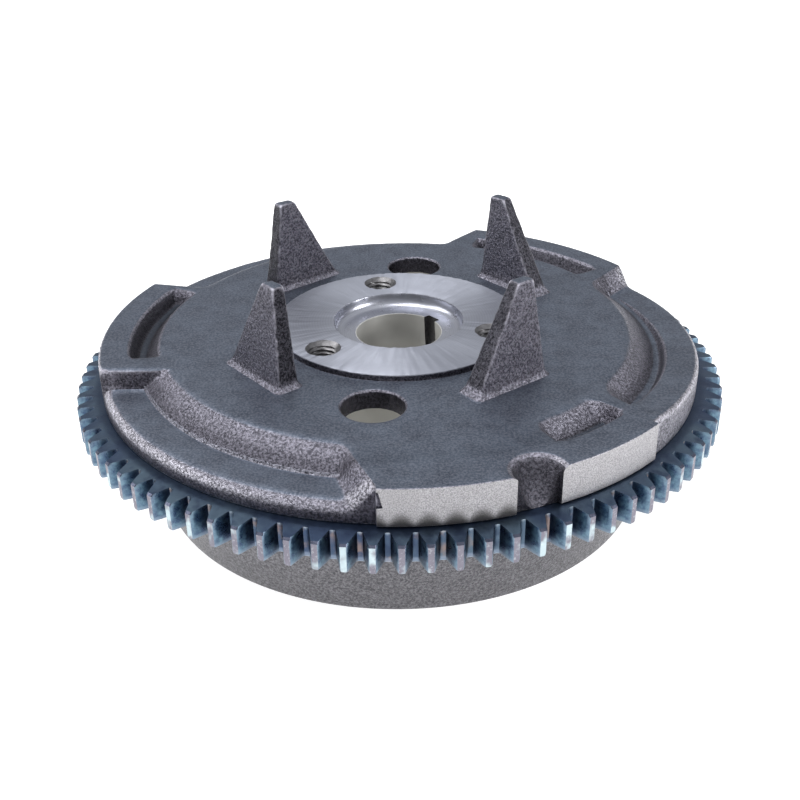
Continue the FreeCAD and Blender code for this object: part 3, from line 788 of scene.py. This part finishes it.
def cast_material(name, shade=0.0):
    """Sand-cast iron under a thin dark coat with a metallic sheen: even on level tops, sparkling elsewhere.

    A shade above 0 is for recesses: painted shade, mixed that far to near black, without the rim's painted
    side light, hardly worn.
    """
    n = Nodes(name)
    x, y, height = n.axes(n.place)
    normal_x, normal_y, upward = n.axes(n.normal)
    radius = n.radius()
    coarse = n.math("MAXIMUM", n.span(upward, 0.985, 0.88), 0.12)
    sand = n.noise(0.65, 4.0, 0.74)
    grain = n.math("ADD", sand, n.math("MULTIPLY", n.noise(1.5, 3.0), 0.7))
    speck = n.span(sand, 0.38, 0.64)
    blotches = n.noise(8.0, 5.0, 0.65)
    level_colour = n.mix(n.span(blotches, 0.3, 0.7), grey(71, 78, 91), grey(94, 103, 117))
    level_colour = n.mix(n.math("MULTIPLY", speck, 0.34), level_colour, grey(146, 152, 164))
    # painted light and shade: the same coated iron in a shaded tone for steep walls, darker shaded tones for
    # the posts, a lit tone for slopes and a side-lit tone for the rim
    shaded_wall_colour = n.mix(speck, grey(46, 45, 51), grey(94, 92, 102))
    shaded_post_side = n.mix(speck, grey(58, 57, 64), grey(122, 120, 131))
    shaded_post_end = n.mix(speck, grey(24, 23, 28), grey(78, 77, 84))
    lit_slope_colour = n.mix(speck, grey(76, 75, 83), grey(152, 150, 162))
    side_lit_rim_colour = n.mix(speck, grey(80, 79, 84), grey(206, 204, 214))
    under_colour = n.mix(speck, grey(82, 81, 85), grey(136, 135, 139))

    # painted shade: a post's ends, which look along the rim, are darker than its wide sides
    sideways = n.math("SUBTRACT", n.math("MULTIPLY", x, normal_y), n.math("MULTIPLY", y, normal_x))
    sideways = n.math("ABSOLUTE", n.math("DIVIDE", sideways, n.math("MULTIPLY", radius, MM)))
    shaded_post_colour = n.mix(n.span(sideways, 0.4, 0.75), shaded_post_side, shaded_post_end)
    # above the web, the posts take the painted post shade in place of the wall tone
    on_post = n.span(height, (WEB + 0.5) * MM, (WEB + 3.0) * MM)
    shaded_wall_colour = n.mix(on_post, shaded_wall_colour, shaded_post_colour)

    # how steep a face has to be to count as a wall; walls get the painted shade tone, faces turned further up
    # the painted lit tone
    threshold = 0.25
    if not shade:
        threshold = n.span(radius, *RIM_BAND, threshold, 0.12)
        # painted side light: the rim's slopes are paler where they face left or right, its wall only where it
        # faces right
        facing = n.span(n.math("ABSOLUTE", normal_x), 0.2, 0.55, 0.1, 0.85)
        rim = n.math("MULTIPLY", n.span(radius, *RIM_BAND), facing)
        lit_slope_colour = n.mix(rim, lit_slope_colour, side_lit_rim_colour)
        right_lit_wall = n.math("MULTIPLY", n.span(normal_x, 0.45, 0.8), n.span(radius, 85.5, 87.0))
        shaded_wall_colour = n.mix(n.math("MULTIPLY", right_lit_wall, 0.8), shaded_wall_colour, side_lit_rim_colour)

    # painted shade: the foot of the web's slope and the posts count as walls, however they slope
    foot = n.math("MULTIPLY", n.span(radius, 71.0, 75.6, 0.0, 0.75), n.span(radius, 78.5, 77.0))
    lit = n.span(upward, threshold, n.math("ADD", threshold, 0.4))
    lit = n.math("MULTIPLY", lit, n.math("SUBTRACT", 1.0, foot))
    lit = n.math("MULTIPLY", lit, n.span(height, (WEB + 3.0) * MM, (WEB + 1.8) * MM, 0.15, 1.0))
    # painted light and shade: lit faces take the pale slope tone, the rest the dark wall tone
    colour = n.mix(lit, shaded_wall_colour, lit_slope_colour)

    # painted highlight: a bright line where the slope meets the low ledge
    crease_highlight = n.math("MULTIPLY", n.span(radius, 76.0, 76.2), n.span(radius, 76.7, 76.5))
    crease_highlight = n.math("MULTIPLY", crease_highlight, n.span(height, (LEDGE + 1.4) * MM, (LEDGE + 1.1) * MM))
    crease_highlight = n.math("MULTIPLY", crease_highlight, n.span(sand, 0.36, 0.6, 0.0, 0.65))
    colour = n.mix(crease_highlight, colour, grey(176, 176, 188))
    colour = n.mix(n.span(upward, -0.08, -0.2), colour, under_colour)
    colour = n.mix(coarse, level_colour, colour)

    # paler sharp edges, more on the posts: partly wear, partly a painted highlight
    wear_and_highlight = n.math("ADD", 0.1 if shade else 0.55, n.math("MULTIPLY", on_post, 0.35))
    worn = n.math("MULTIPLY", n.edges(), n.math("MULTIPLY", coarse, wear_and_highlight))
    colour = n.mix(worn, colour, grey(196, 194, 206))
    # painted shade in the recesses
    if shade:
        colour = n.mix(shade, colour, grey(24, 24, 28))
    roughness = n.math("ADD", n.span(coarse, 0.1, 1.0, 0.45, 0.27), n.math("MULTIPLY", n.noise(1.5), 0.08))
    return n.finish(colour, roughness, 0.95, n.bump(grain, 0.42, coarse))


def turned_material(name, light, dark, roughness, ring_size, ring_depth, metallic=0.9, anisotropic=0.0):
    """Machined iron: fine concentric tool marks stretch its highlights outward from the axis."""
    n = Nodes(name)
    rings = n.math("SINE", n.math("MULTIPLY", n.radius(), 2 * math.pi / ring_size))
    wander = n.noise(3.0, 2.0)
    colour = n.mix(n.span(n.noise(22.0, 3.0), 0.3, 0.7), dark, light)
    colour = n.mix(n.span(rings, -1.0, 1.0, 0.0, 0.1), colour, grey(90, 92, 98))
    normal = n.bump(n.math("MULTIPLY", rings, wander), ring_depth, 1.0)
    normal = n.bump(n.noise(0.3, 2.0), 0.004, 0.5, normal)
    if anisotropic:
        # the tool marks run round the axis; worked out from position, so it does not depend on the mesh
        x, y, _ = n.axes(n.place)
        round_axis = n.node("ShaderNodeCombineXYZ")
        n.feed(round_axis.inputs[0], n.math("MULTIPLY", y, -1.0))
        n.feed(round_axis.inputs[1], x)
        tangent = n.node("ShaderNodeVectorMath", operation="NORMALIZE")
        n.feed(tangent.inputs[0], round_axis.outputs[0])
        n.feed(n.shader.inputs["Tangent"], tangent.outputs[0])
        n.shader.inputs["Anisotropic"].default_value = anisotropic
        n.shader.inputs["Anisotropic Rotation"].default_value = 0.25
    return n.finish(colour, n.span(wander, 0.2, 0.8, roughness - 0.03, roughness + 0.04), metallic, normal)


def ground_material():
    """Ground pads: pale grey, fine grained, with a soft painted reflection of the teeth along the lower edge,
    dark above each tooth.
    """
    n = Nodes("ground_pad")
    x, y, height = n.axes(n.place)
    grain = n.noise(0.32, 4.0, 0.7)
    colour = n.mix(n.span(grain, 0.34, 0.66), grey(126, 125, 127), grey(186, 184, 188))
    colour = n.mix(n.span(n.noise(4.0, 2.0), 0.3, 0.7, 0.0, 0.15), colour, grey(150, 148, 146))
    # painted reflection of the teeth: dark scallops above each tooth along the lower edge, mostly on the
    # first pad
    angle = n.math("ARCTAN2", y, x)
    waves = n.math("ABSOLUTE", n.math("COSINE", n.math("MULTIPLY", angle, TEETH / 2)))
    reach = n.math("ADD", (PAD_BOTTOM - 0.4) * MM, n.math("MULTIPLY", waves, 2.4 * MM))
    shade = n.span(n.math("SUBTRACT", height, reach), 3.0 * MM, -1.0 * MM)
    first_pad = n.span(x, 36 * MM, 30 * MM, 0.05, 0.9)
    colour = n.mix(n.math("MULTIPLY", shade, first_pad), colour, grey(52, 50, 48))
    normal = n.bump(grain, 0.08, 0.8)
    return n.finish(colour, n.span(grain, 0.2, 0.8, 0.42, 0.6), 0.45, normal)


def thread_material():
    n = Nodes("cut_thread")
    colour = n.mix(n.noise(1.0), grey(74, 73, 75), grey(132, 131, 133))
    return n.finish(colour, n.span(n.noise(0.6), 0.2, 0.8, 0.28, 0.45), 0.9, n.bump(n.noise(0.25), 0.02, 0.6))


def ring_material():
    """Heat-blued steel: dark navy beside the rim as a painted reflection of the dark rim, teal to blue
    further out, with rust stains in some gaps.
    """
    n = Nodes("blued_steel")
    radius = n.radius()
    tint = n.noise(16.0, 4.0, 0.6)
    colour = n.mix(n.span(tint, 0.3, 0.7), grey(62, 76, 100), grey(88, 105, 120))
    colour = n.mix(n.span(n.noise(5.0, 3.0), 0.5, 0.75, 0.0, 0.7), colour, grey(44, 54, 80))
    # painted reflection: darker navy near the rim, where the top mirrors the dark rim
    rim_reflection = n.span(n.math("ADD", radius, n.noise(4.0)), 91.4, 89.2)
    colour = n.mix(n.math("MULTIPLY", rim_reflection, 0.6), colour, grey(38, 52, 76))
    upright = n.span(n.math("ABSOLUTE", n.axes(n.normal)[2]), 0.6, 0.3)
    rust = n.math("MULTIPLY", n.span(n.noise(6.0, 4.0), 0.5, 0.64), upright)
    colour = n.mix(n.math("MULTIPLY", rust, 0.6), colour, grey(146, 124, 112))
    # painted reflection of the pale floor: paler near the lower edge
    low = n.span(n.axes(n.place)[2], (RING_BOTTOM + 1.7) * MM, (RING_BOTTOM + 0.9) * MM)
    colour = n.mix(n.math("MULTIPLY", low, 0.6), colour, grey(128, 140, 158))
    # paler sharp steep edges: partly wear, partly a painted highlight
    steep = n.span(n.math("ABSOLUTE", n.axes(n.normal)[2]), 0.96, 0.8)
    colour = n.mix(n.math("MULTIPLY", n.math("MULTIPLY", n.edges(), steep), 0.5), colour, grey(186, 200, 210))
    normal = n.bump(n.noise(0.5, 3.0), 0.05, 0.7)
    normal = n.bump(n.noise(4.0, 2.0), 0.2, 0.25, normal)
    return n.finish(colour, n.span(n.noise(2.0), 0.25, 0.75, 0.28, 0.42), 0.95, normal)


def flank_material():
    """Tooth flanks: deep navy, streaked along the tooth, with painted shade towards the root and a painted
    reflection of the floor near the lower edge.
    """
    n = Nodes("blued_flank")
    streaks = n.noise(1.6, 4.0, 0.6)
    colour = n.mix(n.span(streaks, 0.3, 0.75), grey(62, 80, 104), grey(106, 134, 150))
    # painted shade between the teeth: darker towards the root
    root = n.span(n.math("ADD", n.radius(), n.noise(2.0)), 94.4, 91.8)
    colour = n.mix(n.math("MULTIPLY", root, 0.75), colour, grey(34, 38, 58))
    # painted reflection of the pale floor: paler near the lower edge
    low = n.span(n.axes(n.place)[2], (RING_BOTTOM + 1.5) * MM, (RING_BOTTOM + 0.6) * MM)
    colour = n.mix(n.math("MULTIPLY", low, 0.45), colour, grey(128, 142, 158))
    # paler sharp edges: partly wear, partly a painted highlight
    colour = n.mix(n.math("MULTIPLY", n.edges(), 0.25), colour, grey(170, 184, 198))
    return n.finish(colour, n.span(streaks, 0.3, 0.7, 0.26, 0.4), 0.95, n.bump(n.noise(0.4), 0.06, 0.7))


def tip_material():
    """Tooth tips: brownish grey as turned, worn bright on some teeth."""
    n = Nodes("worn_tip")
    patches = n.noise(9.0, 3.0, 0.6)
    colour = n.mix(n.span(patches, 0.5, 0.62), grey(124, 121, 132), grey(184, 200, 205))
    colour = n.mix(n.span(n.noise(0.7, 3.0), 0.54, 0.72, 0.0, 0.35), colour, grey(214, 222, 224))
    return n.finish(colour, n.span(n.noise(1.5), 0.3, 0.7, 0.34, 0.5), 0.85, n.bump(n.noise(0.4), 0.06, 0.8))


def bevel_material():
    """The steep bevel above each tip, darker than the tip, as a painted reflection of the dark space in front
    of the wheel.
    """
    n = Nodes("dark_bevel")
    colour = n.mix(n.noise(1.2), grey(54, 56, 72), grey(94, 98, 114))
    return n.finish(colour, n.span(n.noise(0.8), 0.3, 0.7, 0.3, 0.42), 0.9, n.bump(n.noise(0.4), 0.03, 0.6))


def magnet_material():
    """Sintered ferrite: charcoal, matt, slightly pitted."""
    n = Nodes("ferrite")
    pits = n.noise(1.1, 4.0, 0.7)
    colour = n.mix(pits, grey(44, 44, 48), grey(74, 73, 76))
    return n.finish(colour, n.span(pits, 0.3, 0.7, 0.55, 0.75), 0.15, n.bump(pits, 0.12, 0.7))


def cage_material():
    """Moulded band that holds the magnets."""
    n = Nodes("moulded_cage")
    fine = n.noise(0.6, 2.0)
    colour = n.mix(n.noise(12.0), grey(58, 60, 64), grey(76, 78, 82))
    return n.finish(colour, n.span(fine, 0.3, 0.7, 0.45, 0.6), 0.0, n.bump(fine, 0.05, 0.6))


FLOOR_GLOW = 0.80                                   # the floor is a lit table, so it also lights from below
FLOOR_HALF, FLOOR_DROP = 6000.0, 0.02               # half its side, and how far it lies below the bell


def floor_material():
    n = Nodes("pale_floor")
    soft = n.noise(60.0, 2.0)
    colour = n.mix(soft, grey(190, 190, 191), grey(194, 194, 194))
    n.shader.inputs["Emission Color"].default_value = (1.0, 1.0, 1.0, 1.0)
    n.shader.inputs["Emission Strength"].default_value = FLOOR_GLOW
    return n.finish(colour, 0.75, 0.0, n.bump(soft, 0.1, 0.1))


# ---------------------------------------------------------------- assembly

def make_floor():
    half = FLOOR_HALF
    corners = [(-half, -half, 0.0), (half, -half, 0.0), (half, half, 0.0), (-half, half, 0.0)]
    floor = mesh_object("floor", corners, [(0, 1, 2, 3)], [floor_material()], smooth=False)
    floor.location.z = -FLOOR_DROP * MM


def repaint(node, material):
    """Gives one of the CAD's own pieces a material."""
    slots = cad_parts[node].data.materials
    slots.clear()
    slots.append(material)


make_camera()
make_studio()
make_floor()
make_casting([
    cast_material("cast_iron_surface"),
    turned_material("turned_hub_face", grey(173, 176, 187), grey(166, 169, 180), 0.46, 0.8, 0.0015,
                    anisotropic=0.75),
    turned_material("polished_cove", grey(170, 172, 181), grey(160, 162, 172), 0.29, 0.6, 0.0015),
    # pale and hardly metallic, paler than bare iron: painted light on the bore's wall
    turned_material("bore_wall", grey(182, 181, 177), grey(148, 147, 143), 0.4, 0.5, 0.004, metallic=0.25),
    ground_material(),
    thread_material(),
    # near white and hardly metallic, paler than bare iron: painted light on the bell's inside
    turned_material("bored_inside", grey(226, 225, 218), grey(204, 203, 197), 0.5, 0.6, 0.01, metallic=0.12),
    cast_material("cast_recess_shaded", 0.5),
])
make_ring_gear([ring_material(), flank_material(), tip_material(), bevel_material()])
ferrite = magnet_material()
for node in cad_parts:
    if node.startswith("charge_magnet"):
        repaint(node, ferrite)
repaint("magnet_cage", cage_material())
